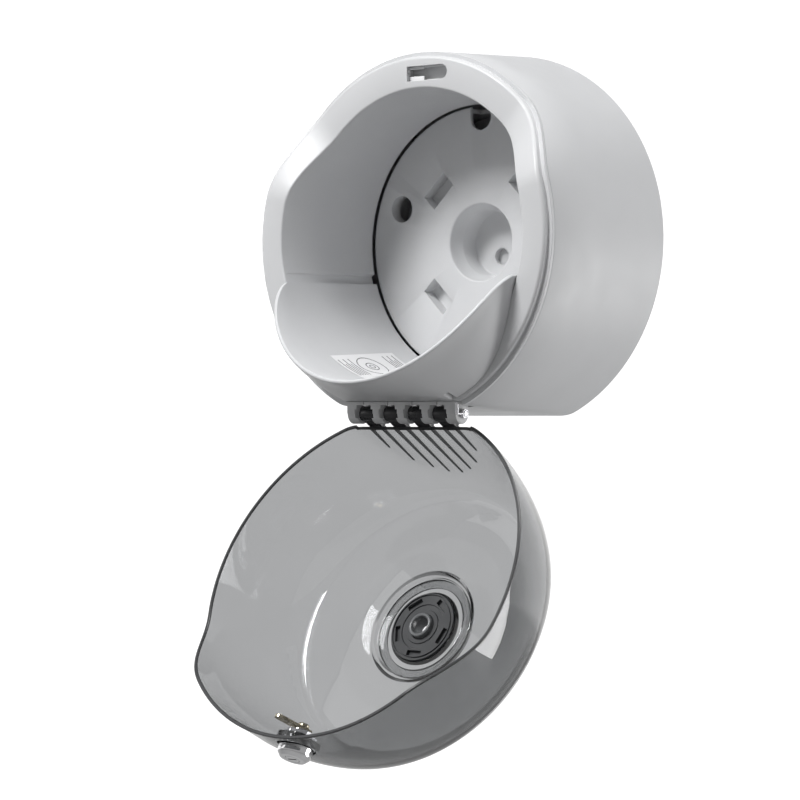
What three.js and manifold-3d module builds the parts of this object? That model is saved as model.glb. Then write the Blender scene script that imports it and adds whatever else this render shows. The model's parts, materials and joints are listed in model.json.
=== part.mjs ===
// Centre-pull tissue roll dispenser, wall mounted, with its round cover hanging open.
// Millimetres, +Z up. The wall is the plane y = 0, the front of the dispenser looks along -Y,
// and the origin is on the drum's axis where the mounting plate rests on the wall.
import * as THREE from "three";
import { mergeVertices } from "three/addons/utils/BufferGeometryUtils.js";
import Module from "manifold-3d";

const wasm = await Module();
wasm.setup();

// ---------- driving dimensions ----------
const GAP = 0.3; // clearance left between two pieces that touch
const DRUM_RADIUS = 133.35; // outside radius at the wall, a 10.5 in drum
const DRAFT = 0.053; // radius lost per millimetre of depth
const FLAT_DROP = 122.4; // from the axis down to the flat underside, at the wall
const WALL = 3; // moulded wall
const STEPS = 72; // facets round the drum

const FRONT_DEPTH = 126; // front face of the frame at its sides and bottom
const TOP_RECESS = 22.4; // how far the frame's face drops back at the top
const WAVE_FROM = 43.5; // degrees from the top where the face starts forward
const WAVE_TO = 75.2; // degrees from the top where it is fully forward
const SHOULDER = 4.5; // from the frame's face back to the shoulder that the cover meets
const SPIGOT_INSET = 2.9; // how far the frame's lip lies inside the drum's surface
const CORNER = 2.2; // rounding of the frame's outer edge
const FLANGE = 2.5; // thickness of the frame's shoulder

const PLATE_DEPTH = 33;
const PLATE_RADIUS = 95;
const WELL_MOUTH_RADIUS = 27.1;
const WELL_RADIUS = 23.3;
const WELL_STEP_DEPTH = 22.4;
const WELL_FLOOR_DEPTH = 8;

const LINER_BACK_DEPTH = 35;
const LINER_BACK_RADIUS = 97;
const LINER_FRONT_RADIUS = 105;
const LINER_EDGE_ANGLE = 102; // degrees from the top where the tray takes over from the liner

const TRAY_HALF_ANGLE = 73.5; // degrees each side of the bottom
const TRAY_REACH = 55; // how far the lip stands in front of the frame at the bottom
const TRAY_BACK_RADIUS = 96.5;
const TRAY_MID_RADIUS = 101.5;
const TRAY_LIP_RADIUS = 98.5;

const HINGE_DEPTH = 115.5;
const HINGE_DROP = 120.9;
const OPEN_ANGLE = 151.5; // degrees that the cover swings from closed to hanging open
const PIN_RADIUS = 2;
const BLOCK_HALF_WIDTH = 47.3;
const BLOCK_TOP = -112.6;
const BLOCK_BACK_DEPTH = 108.5;
const BLOCK_FRONT_DEPTH = 123;
const LUG_RADIUS = 7;
const KNUCKLE_PITCH = 21.4;
const KNUCKLE_CENTRE = -0.6;
const KNUCKLE_WIDTH = 11.6;
const KNUCKLE_RADIUS = 5.2;
const KNUCKLES = 4;
const WINDOW_WIDTH = 16;
const CLIP_ROOM = 4.5; // room beside the block for the spring clip
const CLIP_GROOVE_TOP = -102; // the short groove in the tray's chin, above the clip
const CLIP_GROOVE_REACH = 10;

const COVER_WALL = 2.4;
const COVER_DEPTH = 200; // front face when closed
const COVER_ROUND = 30; // how much radius the crowned shoulder takes
const COVER_CROWN = 1.77; // exponent of the shoulder's curve
const COVER_START = 121.5; // depth where the shoulder's curve starts
const NOTCH_DEPTH = 124.8; // the cover is cut back here to clear the hinge block

const NOZZLE_HOLE_RADIUS = 26;
const DISH_RADIUS = 38.3;
const DISH_RISE = 3.4;

const LOCK_DEPTH = 117.5;
const LOCK_SEAT = 124.2; // height above the axis of the flat that the lock sits on
const LOCK_PAD_RADIUS = 13.1;
const LOCK_FLANGE_RADIUS = 12.6;
const BARREL_RADIUS = 8;
const PLUG_RADIUS = 4.9;
const CAM_REST_ANGLE = 15; // degrees that the cam points to the left of straight back

const radians = THREE.MathUtils.degToRad;

// ---------- colours ----------
const finish = (color, roughness, metalness = 0, opacity = 1) =>
  new THREE.MeshStandardMaterial({ color, roughness, metalness, opacity, transparent: opacity < 1 });
const greyPlastic = finish(0xc9cbcd, 0.45);
const innerPlastic = finish(0xbfc1c4, 0.5);
const smokePlastic = finish(0x6f7276, 0.12, 0, 0.55);
const darkPlastic = finish(0x2e3033, 0.35);
const nozzlePlastic = finish(0x404346, 0.3);
const chrome = finish(0xe2e4e6, 0.08, 1);
const nickel = finish(0xb9b093, 0.25, 1);
const steel = finish(0x8a8d90, 0.35, 1);
const paper = finish(0xe9eaeb, 0.7);

// ---------- geometry helpers ----------
// Turns a closed three.js geometry into a manifold solid with its faces pointing out.
function solid(geometry) {
  const bare = geometry.index ? geometry.toNonIndexed() : geometry.clone();
  bare.deleteAttribute("normal");
  bare.deleteAttribute("uv");
  const merged = mergeVertices(bare, 1e-4);
  const vertProperties = new Float32Array(merged.attributes.position.array);
  const build = (triVerts) => new wasm.Manifold(new wasm.Mesh({ numProp: 3, vertProperties, triVerts }));
  const triVerts = new Uint32Array(merged.index.array);
  const made = build(triVerts);
  return made.volume() > 0 ? made : build(triVerts.slice().reverse());
}

function union(solids) {
  return solids.reduce((sum, next) => sum.add(next));
}

function box(x0, x1, y0, y1, z0, z1) {
  const geometry = new THREE.BoxGeometry(x1 - x0, y1 - y0, z1 - z0);
  return solid(geometry.translate((x0 + x1) / 2, (y0 + y1) / 2, (z0 + z1) / 2));
}

// Revolves [radius, depth] pairs about the drum's axis; depth is measured out from the wall.
function revolve(profile, steps = STEPS) {
  const points = profile.map(([radius, depth]) => new THREE.Vector2(radius, -depth));
  return solid(new THREE.LatheGeometry(points, steps));
}

// Revolves [radius, height] pairs about a vertical axis through (x, y).
function turned(profile, x, y, steps = 32) {
  const points = profile.map(([radius, height]) => new THREE.Vector2(radius, height));
  return solid(new THREE.LatheGeometry(points, steps).rotateX(Math.PI / 2).translate(x, y, 0));
}

// A round bar along X.
function barX(radius, x0, x1, y, z, steps = 20) {
  const geometry = new THREE.CylinderGeometry(radius, radius, x1 - x0, steps).rotateZ(Math.PI / 2);
  return solid(geometry.translate((x0 + x1) / 2, y, z));
}

// A round bar along the drum's axis, between two depths.
function barY(radius, x, z, depth0, depth1, steps = 24) {
  const geometry = new THREE.CylinderGeometry(radius, radius, depth1 - depth0, steps);
  return solid(geometry.translate(x, -(depth0 + depth1) / 2, z));
}

// Extrudes a side outline of [depth, height] pairs from x0 to x1.
function sidePrism(outline, x0, x1) {
  const shape = new THREE.Shape(outline.map(([depth, height]) => new THREE.Vector2(-depth, height)));
  const geometry = new THREE.ExtrudeGeometry(shape, { depth: x1 - x0, bevelEnabled: false });
  const axes = new THREE.Matrix4().makeBasis(
    new THREE.Vector3(0, 1, 0),
    new THREE.Vector3(0, 0, 1),
    new THREE.Vector3(1, 0, 0),
  );
  return solid(geometry.applyMatrix4(axes).translate(x0, 0, 0));
}

// Extrudes a plan shape in XY from z0 to z1.
function planPrism(shape, z0, z1, curveSegments = 10) {
  const options = { depth: z1 - z0, bevelEnabled: false, curveSegments };
  return solid(new THREE.ExtrudeGeometry(shape, options).translate(0, 0, z0));
}

// A point at a radius, a depth and an angle in degrees from the top, clockwise from the front.
function drumPoint(radius, depth, angle) {
  return [radius * Math.sin(radians(angle)), -depth, radius * Math.cos(radians(angle))];
}

// Triangles that fill a flat loop, wound the same way round as the loop.
function capFaces(loop) {
  const points = loop.map(([r, d]) => new THREE.Vector2(r, d));
  const way = Math.sign(THREE.ShapeUtils.area(points));
  return THREE.ShapeUtils.triangulateShape(points, []).map(([a, b, c]) => {
    const same = Math.sign(THREE.ShapeUtils.area([points[a], points[b], points[c]])) === way;
    return same ? [a, b, c] : [a, c, b];
  });
}

// Joins one closed loop of [radius, depth] points per angle into a skin. A full turn closes on
// itself, and a part turn gets a flat cap at each end.
function loft(angles, loopAt, fullTurn) {
  const loops = angles.map((angle) => loopAt(angle).map(([r, d]) => drumPoint(r, d, angle)));
  const count = loops[0].length;
  const spans = fullTurn ? loops.length : loops.length - 1;
  const indices = [];
  for (let i = 0; i < spans; i++) {
    const here = i * count;
    const next = ((i + 1) % loops.length) * count;
    for (let j = 0; j < count; j++) {
      const k = (j + 1) % count;
      indices.push(here + j, next + j, next + k, here + j, next + k, here + k);
    }
  }
  if (!fullTurn) {
    const last = (loops.length - 1) * count;
    for (const [a, b, c] of capFaces(loopAt(angles[0]))) indices.push(a, b, c);
    for (const [a, b, c] of capFaces(loopAt(angles.at(-1)))) indices.push(last + a, last + c, last + b);
  }
  const geometry = new THREE.BufferGeometry();
  geometry.setAttribute("position", new THREE.Float32BufferAttribute(loops.flat(2), 3));
  geometry.setIndex(indices);
  return solid(geometry);
}

// Evenly spaced angles round the drum, with a few exact ones added.
function turnAngles(extra = []) {
  const even = Array.from({ length: STEPS }, (_, i) => (i * 360) / STEPS - 180);
  return [...new Set([...even, ...extra])].sort((a, b) => a - b);
}

function smooth(t) {
  const u = THREE.MathUtils.clamp(t, 0, 1);
  return u * u * (3 - 2 * u);
}

const mix = THREE.MathUtils.lerp;
const drumRadius = (depth) => DRUM_RADIUS - DRAFT * depth;
const flatHeight = (depth, inset) => -(FLAT_DROP - DRAFT * depth - inset);

// Everything above the flat underside, moved up by inset.
function aboveFlat(inset) {
  const near = -20;
  const far = 240;
  const outline = [
    [near, flatHeight(near, inset)],
    [far, flatHeight(far, inset)],
    [far, DRUM_RADIUS + 20],
    [near, DRUM_RADIUS + 20],
  ];
  return sidePrism(outline, -DRUM_RADIUS - 20, DRUM_RADIUS + 20);
}

// The layer just above the flat underside.
function flatLayer(inset, thickness) {
  return aboveFlat(inset).subtract(aboveFlat(inset + thickness));
}

// Depth of the frame's front face at an angle from the top.
function faceDepth(angle) {
  const t = (Math.abs(angle) - WAVE_FROM) / (WAVE_TO - WAVE_FROM);
  return FRONT_DEPTH - TOP_RECESS * (1 - smooth(t));
}

function meshOf(shape, name, material) {
  const mesh = shape.getMesh();
  const geometry = new THREE.BufferGeometry();
  geometry.setAttribute("position", new THREE.BufferAttribute(mesh.vertProperties.slice(), 3));
  geometry.setIndex(new THREE.BufferAttribute(mesh.triVerts.slice(), 1));
  geometry.computeVertexNormals();
  const made = new THREE.Mesh(geometry, material);
  made.name = name;
  return made;
}

// ---------- base: drum housing ----------
const blockRoom = box(
  -BLOCK_HALF_WIDTH - GAP,
  BLOCK_HALF_WIDTH + CLIP_ROOM,
  -BLOCK_FRONT_DEPTH - 24,
  -BLOCK_BACK_DEPTH + GAP,
  -HINGE_DROP - 20,
  BLOCK_TOP + GAP,
);

const SCREW_CIRCLE = 108;
const SCREW_ANGLES = [45, 135, 225, 315];
const SCREW_HOLE_RADIUS = 2.3;
const BACK_FLANGE_RADIUS = 99;
const FIXING_HOLE_RADIUS = 3.2;
const KEY_HOLE_HEIGHT = 88;
const KEY_HOLE_RADIUS = 9;
const SIDE_HOLE_X = 71;
const SIDE_HOLE_Z = 26;
const SIDE_HOLE_RADIUS = 9.5;
const WELL_HOLE_DROP = 9;
const screwPlaces = SCREW_ANGLES.map((angle) => drumPoint(SCREW_CIRCLE, 0, angle));
const screwHoles = union(screwPlaces.map(([x, , z]) => barY(SCREW_HOLE_RADIUS, x, z, -5, 15, 12)));

function drumHousing() {
  const edge = (angle) => faceDepth(angle) - SHOULDER - FLANGE - GAP;
  const loopAt = (angle) => {
    const front = edge(angle);
    return [
      [DRUM_RADIUS, 0],
      [drumRadius(front), front],
      [drumRadius(front) - WALL, front],
      [drumRadius(WALL) - WALL, WALL],
      [BACK_FLANGE_RADIUS, WALL],
      [BACK_FLANGE_RADIUS, 0],
    ];
  };
  const round = loft(turnAngles([-WAVE_FROM, WAVE_FROM]), loopAt, true).intersect(aboveFlat(0));
  const bottomFront = edge(180);
  const core = revolve([
    [0, 0],
    [DRUM_RADIUS, 0],
    [drumRadius(bottomFront), bottomFront],
    [0, bottomFront],
  ]);
  const floor = core.intersect(flatLayer(0, WALL));
  const panel = barY(BACK_FLANGE_RADIUS + 1, 0, 0, 0, WALL, STEPS);
  const fixingPlaces = [
    [0, KEY_HOLE_HEIGHT],
    [SIDE_HOLE_X, SIDE_HOLE_Z],
    [-SIDE_HOLE_X, SIDE_HOLE_Z],
    [0, -WELL_HOLE_DROP],
  ];
  const fixings = union(fixingPlaces.map(([x, z]) => barY(FIXING_HOLE_RADIUS, x, z, -5, WALL + 5)));
  return union([round, floor, panel]).subtract(fixings).subtract(screwHoles).subtract(blockRoom);
}

// ---------- base: mounting plate ----------
const COLLAR_DEPTH = 10;
const SOCKET_RADIUS = 53;
const SOCKET_LENGTH = 24;
const SOCKET_WIDTH = 13;
const SOCKET_DEPTH = 10;
const WELL_HOLE_RADIUS = 6;
const PLATE_FLANGE_RADIUS = 116;

// A block at a socket's place, its long side round the axis.
function socketBlock(angle, length, width, depth0, depth1) {
  const geometry = new THREE.BoxGeometry(length, depth1 - depth0, width);
  const [x, , z] = drumPoint(SOCKET_RADIUS, 0, angle);
  return solid(geometry.rotateY(radians(angle)).translate(x, -(depth0 + depth1) / 2, z));
}

function mountingPlate() {
  const backOfPlate = PLATE_DEPTH - WALL;
  const flangeBack = WALL + GAP;
  const dish = revolve([
    [0, flangeBack],
    [WELL_RADIUS + WALL, flangeBack],
    [WELL_RADIUS + WALL, WELL_STEP_DEPTH],
    [WELL_MOUTH_RADIUS + WALL, backOfPlate],
    [PLATE_RADIUS - WALL, backOfPlate],
    [PLATE_RADIUS - WALL, flangeBack],
    [PLATE_FLANGE_RADIUS, flangeBack],
    [PLATE_FLANGE_RADIUS, flangeBack + WALL],
    [PLATE_RADIUS, flangeBack + WALL],
    [PLATE_RADIUS, PLATE_DEPTH - 1],
    [PLATE_RADIUS - 1, PLATE_DEPTH],
    [WELL_MOUTH_RADIUS, PLATE_DEPTH],
    [WELL_RADIUS, WELL_STEP_DEPTH],
    [WELL_RADIUS, WELL_FLOOR_DEPTH],
    [0, WELL_FLOOR_DEPTH],
  ]);
  const collarBack = PLATE_DEPTH - COLLAR_DEPTH;
  const sides = [-SIDE_HOLE_X, SIDE_HOLE_X];
  const collars = sides.map((x) => barY(SIDE_HOLE_RADIUS + 2, x, SIDE_HOLE_Z, collarBack, backOfPlate + 1));
  const holes = sides.map((x) => barY(SIDE_HOLE_RADIUS, x, SIDE_HOLE_Z, 0, PLATE_DEPTH + 5));
  const slotTop = KEY_HOLE_HEIGHT + 30;
  const slotSides = (width, depth0, depth1) => box(-width, width, -depth1, -depth0, KEY_HOLE_HEIGHT, slotTop);
  const innerDisc = barY(PLATE_RADIUS - 1, 0, 0, 0, PLATE_DEPTH - 1, STEPS);
  const slotCollar = barY(KEY_HOLE_RADIUS + 2, 0, KEY_HOLE_HEIGHT, collarBack, backOfPlate + 1)
    .add(slotSides(KEY_HOLE_RADIUS + 2, collarBack, backOfPlate + 1))
    .intersect(innerDisc);
  const slotCut = barY(KEY_HOLE_RADIUS, 0, KEY_HOLE_HEIGHT, collarBack - 2, PLATE_DEPTH + 5).add(
    slotSides(KEY_HOLE_RADIUS, collarBack - 2, PLATE_DEPTH + 5),
  );
  const pocketBack = PLATE_DEPTH - SOCKET_DEPTH;
  const pockets = SCREW_ANGLES.map((angle) =>
    socketBlock(angle, SOCKET_LENGTH, SOCKET_WIDTH, pocketBack, PLATE_DEPTH + 5),
  );
  const pocketShells = SCREW_ANGLES.map((angle) =>
    socketBlock(angle, SOCKET_LENGTH + 4, SOCKET_WIDTH + 4, pocketBack - 2, backOfPlate + 1),
  );
  const wellHole = barY(WELL_HOLE_RADIUS, 0, -WELL_HOLE_DROP, 0, WELL_FLOOR_DEPTH + 5);
  return union([dish, ...collars, slotCollar, ...pocketShells])
    .subtract(union([...holes, slotCut, ...pockets, wellHole]))
    .subtract(screwHoles)
    .intersect(aboveFlat(WALL + GAP + 0.5));
}

// ---------- base: front frame with its liner ----------
const STRIKE_HEIGHT = 113;
const STRIKE_LEFT = -10;
const STRIKE_RIGHT = 25;
const STRIKE_HALF_HEIGHT = 5.2;

const trayRadius = (depth) =>
  depth < FRONT_DEPTH
    ? mix(TRAY_BACK_RADIUS, TRAY_MID_RADIUS, (depth - LINER_BACK_DEPTH) / (FRONT_DEPTH - LINER_BACK_DEPTH))
    : mix(TRAY_MID_RADIUS, TRAY_LIP_RADIUS, (depth - FRONT_DEPTH) / TRAY_REACH);

function linerRadius(depth, angle) {
  if (Math.abs(angle) > LINER_EDGE_ANGLE) return trayRadius(Math.min(depth, FRONT_DEPTH - 0.01)) + WALL + GAP;
  const t = (depth - LINER_BACK_DEPTH) / (FRONT_DEPTH - LINER_BACK_DEPTH);
  return mix(LINER_BACK_RADIUS, LINER_FRONT_RADIUS, t);
}

function frontFrame() {
  const loopAt = (angle) => {
    const face = faceDepth(angle);
    const shoulder = face - SHOULDER;
    const spigot = drumRadius(face) - SPIGOT_INSET;
    const liner = linerRadius(face, angle);
    const back = linerRadius(LINER_BACK_DEPTH, angle);
    const slant = CORNER * (1 - Math.SQRT1_2);
    return [
      [liner + 1, face],
      [spigot - CORNER, face],
      [spigot - slant, face - slant],
      [spigot, face - CORNER],
      [spigot, shoulder],
      [drumRadius(shoulder), shoulder],
      [drumRadius(shoulder - FLANGE), shoulder - FLANGE],
      [spigot - FLANGE, shoulder - FLANGE],
      [spigot - FLANGE, face - WALL],
      [liner + WALL, face - WALL],
      [back + WALL, LINER_BACK_DEPTH],
      [back, LINER_BACK_DEPTH],
      [linerRadius(face - 1, angle), face - 1],
    ];
  };
  const edges = [LINER_EDGE_ANGLE, LINER_EDGE_ANGLE + 0.6];
  const angles = turnAngles([...edges, ...edges.map((a) => -a), -WAVE_FROM, WAVE_FROM]);
  const shoulder = FRONT_DEPTH - SHOULDER;
  const ring = loft(angles, loopAt, true);
  const outside = aboveFlat(0);
  const lipOnly = box(-200, 200, -FRONT_DEPTH - 1, -shoulder, -200, -100);
  const body = ring.intersect(outside).subtract(lipOnly.subtract(aboveFlat(SPIGOT_INSET)));
  const flange = revolve([
    [0, shoulder - FLANGE],
    [drumRadius(shoulder - FLANGE), shoulder - FLANGE],
    [drumRadius(shoulder), shoulder],
    [0, shoulder],
  ]).intersect(flatLayer(0, SPIGOT_INSET + FLANGE));
  const lip = revolve([
    [0, shoulder - 1],
    [drumRadius(FRONT_DEPTH) - SPIGOT_INSET, shoulder - 1],
    [drumRadius(FRONT_DEPTH) - SPIGOT_INSET, FRONT_DEPTH],
    [0, FRONT_DEPTH],
  ]).intersect(flatLayer(SPIGOT_INSET, FLANGE));
  const topFace = faceDepth(0);
  const strike = box(
    STRIKE_LEFT,
    STRIKE_RIGHT - STRIKE_HALF_HEIGHT,
    -topFace - 5,
    -topFace + 8,
    STRIKE_HEIGHT - STRIKE_HALF_HEIGHT,
    STRIKE_HEIGHT + STRIKE_HALF_HEIGHT,
  ).add(barY(STRIKE_HALF_HEIGHT, STRIKE_RIGHT - STRIKE_HALF_HEIGHT, STRIKE_HEIGHT, topFace - 8, topFace + 5));
  return union([body, flange, lip]).subtract(strike).subtract(blockRoom);
}

// ---------- base: roll tray ----------
// Depth of the tray's lip at an angle from the bottom.
function lipDepth(angle) {
  const t = Math.abs(angle) / TRAY_HALF_ANGLE;
  return FRONT_DEPTH + 1 + TRAY_REACH * Math.max(1 - t ** 1.6, 0) ** 0.6;
}

// Radius of the tray's outer skin where it meets the frame's face.
function chinRadius(angle) {
  const spread = 17;
  const reach = 41;
  const round = TRAY_MID_RADIUS + WALL + spread * smooth((TRAY_HALF_ANGLE - Math.abs(angle)) / reach);
  const flat = (-BLOCK_TOP - GAP) / Math.cos(radians(angle));
  return Math.min(round, flat);
}

// Angles over part of the tray, crowded towards the ends, where the lip turns up steeply.
function trayAngles(halfAngle, count) {
  return Array.from({ length: count + 1 }, (_, i) => {
    const along = (i / count) * 2 - 1;
    return 180 + halfAngle * Math.sin((along * Math.PI) / 2);
  });
}

function rollTray() {
  const seat = FRONT_DEPTH + GAP;
  const loopAt = (angle) => {
    const lip = lipDepth(angle - 180);
    const inside = trayRadius(lip);
    const bead = Math.min(1.5, (lip - seat) / 2);
    return [
      [TRAY_BACK_RADIUS, LINER_BACK_DEPTH + GAP],
      [trayRadius(FRONT_DEPTH), FRONT_DEPTH],
      [inside, lip - bead],
      [inside + bead * 0.3, lip - bead * 0.3],
      [inside + bead, lip],
      [inside + WALL - bead * 0.3, lip - bead * 0.3],
      [inside + WALL, lip - bead],
      [chinRadius(angle - 180), seat],
      [TRAY_MID_RADIUS + WALL - 0.02, seat],
      [TRAY_BACK_RADIUS + WALL, LINER_BACK_DEPTH + GAP],
    ];
  };
  // The room between the trough and the outer skin, open to the rear.
  const roof = 9;
  const hollowAt = (angle) => {
    const top = lipDepth(angle - 180) - roof;
    const under = TRAY_MID_RADIUS + WALL;
    const outer = chinRadius(angle - 180) - WALL;
    return [
      [under, seat - 1],
      [outer, seat - 1],
      [outer, seat + 1],
      [trayRadius(top) + WALL + 1, top],
      [trayRadius(top) + WALL, top],
    ];
  };
  const hollow = loft(trayAngles(TRAY_HALF_ANGLE - 17, 20), hollowAt, false);
  const clipGroove = box(
    BLOCK_HALF_WIDTH + GAP,
    BLOCK_HALF_WIDTH + CLIP_ROOM - 0.5,
    -FRONT_DEPTH - CLIP_GROOVE_REACH,
    -FRONT_DEPTH,
    -HINGE_DROP - 20,
    CLIP_GROOVE_TOP,
  );
  const tray = loft(trayAngles(TRAY_HALF_ANGLE, 40), loopAt, false);
  return tray.subtract(hollow).subtract(blockRoom).subtract(clipGroove);
}

// ---------- base: strike plate ----------
// A light plate behind the slot, with a tab that shows in the slot's lower left.
function strikePlate() {
  const front = faceDepth(0) - WALL - GAP;
  const plate = box(-14, 29, -front, -front + 1.5, 107.4, 118.2);
  const opening = box(STRIKE_LEFT - 0.4, 24.5, -front - 1, -front + 3, 111, 117.4);
  const belowOpening = box(4, 24.5, -front - 1, -front + 3, 108.6, 112);
  return plate.subtract(opening).subtract(belowOpening);
}

// ---------- base: hinge block, pin and clip ----------
const knuckleCentres = Array.from(
  { length: KNUCKLES },
  (_, i) => KNUCKLE_CENTRE + (i - (KNUCKLES - 1) / 2) * KNUCKLE_PITCH,
);

function hingeBlock() {
  const bridge = box(
    -BLOCK_HALF_WIDTH,
    BLOCK_HALF_WIDTH,
    -BLOCK_FRONT_DEPTH,
    -BLOCK_BACK_DEPTH,
    -HINGE_DROP,
    BLOCK_TOP,
  );
  const lug = barX(LUG_RADIUS, -BLOCK_HALF_WIDTH, BLOCK_HALF_WIDTH, -HINGE_DEPTH, -HINGE_DROP, 32);
  const bore = barX(PIN_RADIUS + 0.1, -BLOCK_HALF_WIDTH + 2, BLOCK_HALF_WIDTH + 5, -HINGE_DEPTH, -HINGE_DROP, 20);
  const windowTop = BLOCK_TOP - 2.4;
  const slot = (x, width) => box(x - width / 2, x + width / 2, -160, -80, -HINGE_DROP - 20, windowTop);
  const slots = knuckleCentres.map((x) => slot(x, KNUCKLE_WIDTH + 1));
  const rebates = knuckleCentres.map((x) =>
    box(x - WINDOW_WIDTH / 2, x + WINDOW_WIDTH / 2, -160, -HINGE_DEPTH - 3, -HINGE_DROP - 3, -HINGE_DROP + 3),
  );
  return bridge.add(lug).subtract(union([bore, ...slots, ...rebates]));
}

function hingePin() {
  return barX(PIN_RADIUS, -BLOCK_HALF_WIDTH + 2.5, BLOCK_HALF_WIDTH + 3.4, -HINGE_DEPTH, -HINGE_DROP, 20);
}

// A spring clip that grips the pin's end beside the block and hooks up in front of it.
function hingeClip() {
  const inner = PIN_RADIUS + 0.25;
  const wire = 0.9;
  const x0 = BLOCK_HALF_WIDTH + 0.5;
  const x1 = x0 + 2.6;
  const ring = barX(inner + wire, x0, x1, -HINGE_DEPTH, -HINGE_DROP, 24);
  const hole = barX(inner, x0 - 1, x1 + 1, -HINGE_DEPTH, -HINGE_DROP, 24);
  const front = BLOCK_FRONT_DEPTH + GAP + wire;
  const low = -HINGE_DROP - wire / 2;
  const tongue = box(x0, x1, -front, -HINGE_DEPTH - inner - 0.1, low, low + wire);
  const hook = box(x0, x1, -front, -front + wire, low, BLOCK_TOP - 0.5);
  return ring.subtract(hole).add(tongue).add(hook);
}

// ---------- base: label and screws ----------
const LABEL_HALF_ANGLE = 37;
const LABEL_BACK_DEPTH = 60;
const LABEL_THICKNESS = 0.3;

function instructionLabel() {
  const front = FRONT_DEPTH - 1;
  const count = 12;
  const angles = Array.from({ length: count + 1 }, (_, i) => 180 + mix(-1, 1, i / count) * LABEL_HALF_ANGLE);
  const lift = 0.35;
  const loopAt = () => [
    [trayRadius(LABEL_BACK_DEPTH) - lift, LABEL_BACK_DEPTH],
    [trayRadius(front) - lift, front],
    [trayRadius(front) - lift - LABEL_THICKNESS, front],
    [trayRadius(LABEL_BACK_DEPTH) - lift - LABEL_THICKNESS, LABEL_BACK_DEPTH],
  ];
  return loft(angles, loopAt, false);
}

function plateScrew([x, , z]) {
  const head = WALL * 2 + GAP * 2;
  const shank = barY(2, x, z, 0.5, head + 1, 12);
  return barY(4, x, z, head, head + 2.2, 20).add(shank);
}

// ---------- cover, in its closed place ----------
const coverRimDepth = (angle) => faceDepth(angle) - SHOULDER + 0.5;
const crownAngles = Array.from({ length: 9 }, (_, i) => radians((i * 90) / 8));

// Outer or inner surface of the cover's crowned shoulder, set in by inset.
function crown(inset) {
  const start = drumRadius(COVER_START) - inset;
  const rise = COVER_DEPTH - inset - COVER_START;
  return crownAngles.map((a) => [
    start - COVER_ROUND + COVER_ROUND * Math.cos(a) ** (2 / COVER_CROWN),
    COVER_START + rise * Math.sin(a) ** (2 / COVER_CROWN),
  ]);
}

function coverShell() {
  const frontInside = COVER_DEPTH - COVER_WALL;
  const front = [
    [DISH_RADIUS + 4, COVER_DEPTH],
    [DISH_RADIUS + 1, COVER_DEPTH + DISH_RISE],
    [NOZZLE_HOLE_RADIUS, COVER_DEPTH + DISH_RISE],
    [NOZZLE_HOLE_RADIUS, frontInside + DISH_RISE],
    [DISH_RADIUS - 1, frontInside + DISH_RISE],
    [DISH_RADIUS, frontInside],
  ];
  const outer = crown(0);
  const inner = crown(COVER_WALL).reverse();
  const loopAt = (angle) => {
    const rim = coverRimDepth(angle);
    return [[drumRadius(rim), rim], ...outer, ...front, ...inner, [drumRadius(rim) - COVER_WALL, rim]];
  };
  const round = loft(turnAngles([-WAVE_FROM, WAVE_FROM]), loopAt, true);
  const solidCover = revolve([
    [0, coverRimDepth(180)],
    [drumRadius(coverRimDepth(180)), coverRimDepth(180)],
    ...outer,
    [0, COVER_DEPTH],
  ]);
  const flat = solidCover.intersect(flatLayer(0, COVER_WALL));
  const notch = box(
    -BLOCK_HALF_WIDTH - 0.8,
    BLOCK_HALF_WIDTH + CLIP_ROOM + 0.5,
    -NOTCH_DEPTH,
    -90,
    -HINGE_DROP - 20,
    -100,
  );
  const padTop = LOCK_SEAT;
  const padBottom = LOCK_SEAT - COVER_WALL - 1.5;
  const well = turned([[0, padTop], [LOCK_PAD_RADIUS, padTop], [LOCK_PAD_RADIUS + 2, 140], [0, 140]], 0, -LOCK_DEPTH);
  const padRadius = LOCK_PAD_RADIUS + 1.6;
  const pad = turned([[0, padBottom], [padRadius, padBottom], [padRadius, padTop], [0, padTop]], 0, -LOCK_DEPTH)
    .intersect(box(-30, 30, -160, -faceDepth(0) - 0.6, 100, 140));
  const bore = turned([[0, 90], [BARREL_RADIUS + 0.4, 90], [BARREL_RADIUS + 0.4, 150], [0, 150]], 0, -LOCK_DEPTH);
  return round
    .intersect(aboveFlat(0))
    .add(flat)
    .subtract(well)
    .add(pad)
    .subtract(bore)
    .subtract(notch);
}

// A knuckle turns on the pin, reaches forward under the cover's flat and ends in two fins.
function hingeKnuckle(x, index) {
  const half = KNUCKLE_WIDTH / 2;
  const barrel = barX(KNUCKLE_RADIUS, x - half, x + half, -HINGE_DEPTH, -HINGE_DROP, 24);
  const bore = barX(PIN_RADIUS + 0.1, x - half - 1, x + half + 1, -HINGE_DEPTH, -HINGE_DROP, 20);
  const armEnd = NOTCH_DEPTH + 2.5;
  const under = (depth) => flatHeight(depth, 0) - GAP;
  const arm = sidePrism(
    [
      [HINGE_DEPTH + 3, -HINGE_DROP - 4],
      [armEnd, under(armEnd) - 3.4],
      [armEnd, under(armEnd)],
      [HINGE_DEPTH + 3, -HINGE_DROP + 4.2],
    ],
    x - half,
    x + half,
  );
  const finWidth = 1.3;
  const finHeight = 2.6;
  const finEnds = [151, 168, 177, 183, 184, 179, 170, 154];
  const fins = [-1, 1].map((side, i) => {
    const end = finEnds[index * 2 + i];
    const centre = x + side * (half - finWidth / 2);
    const outline = [
      [armEnd - 6, under(armEnd - 6) - finHeight],
      [end, under(end) - 0.4],
      [end, under(end)],
      [armEnd - 6, under(armEnd - 6)],
    ];
    return sidePrism(outline, centre - finWidth / 2, centre + finWidth / 2);
  });
  return union([barrel, arm, ...fins]).subtract(bore);
}

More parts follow.
